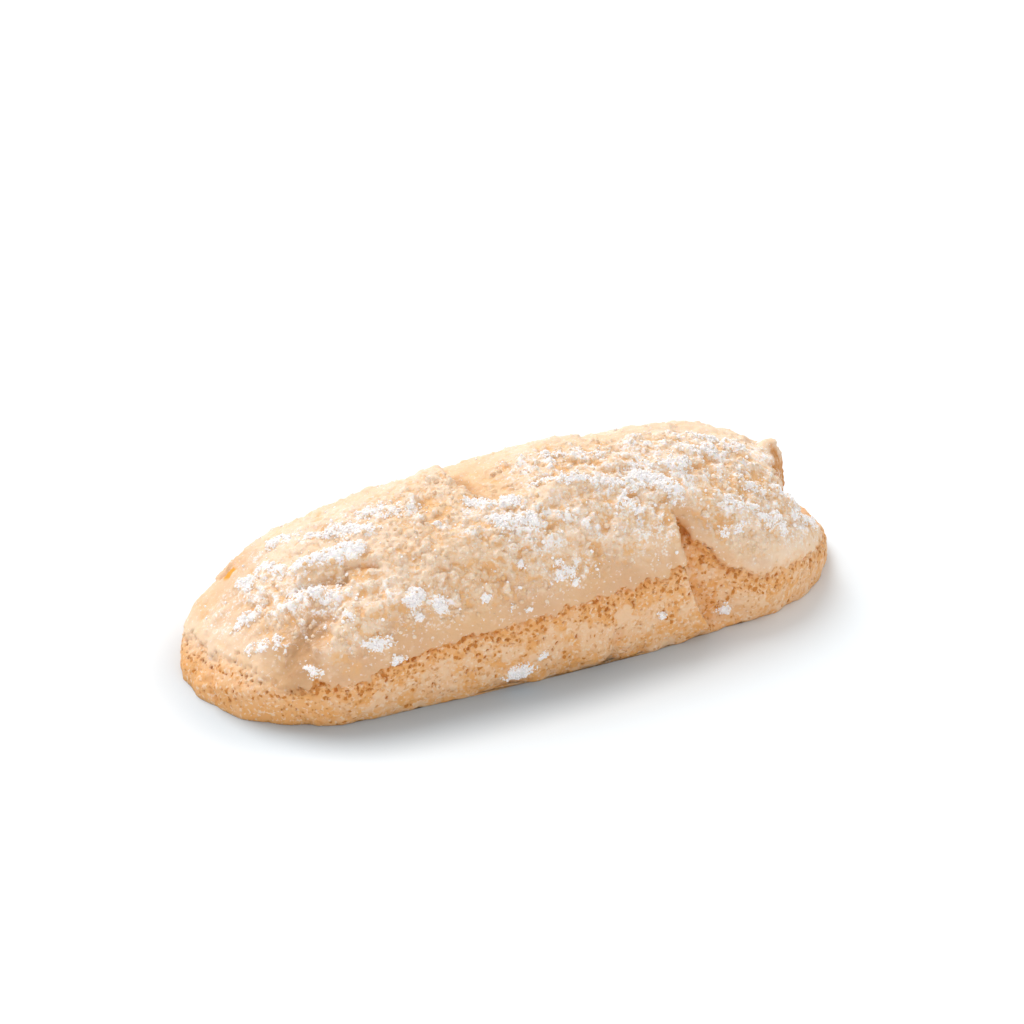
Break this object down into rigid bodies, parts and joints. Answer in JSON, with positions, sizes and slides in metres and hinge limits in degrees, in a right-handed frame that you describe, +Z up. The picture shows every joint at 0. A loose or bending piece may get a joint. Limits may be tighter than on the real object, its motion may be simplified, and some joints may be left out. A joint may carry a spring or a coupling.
{
  "type": "ladyfinger",
  "caption": "Baked sponge finger biscuit: a long domed loaf on a flat sole, with a cracked crust, a folded side, a torn end and clumps of sugar.",
  "frame": {"origin": "middle of the flat sole, on the surface it rests on", "axes": "X along the biscuit, Y across it with the folded side at -Y, Z up"},
  "size_m": [0.1131, 0.0429, 0.029],
  "materials": {
    "biscuit": "matt baked crust, pale golden, with white sugar lumps"
  },
  "bodies": {
    "root": {"ladyfinger": "biscuit"}
  },
  "joints": []
}
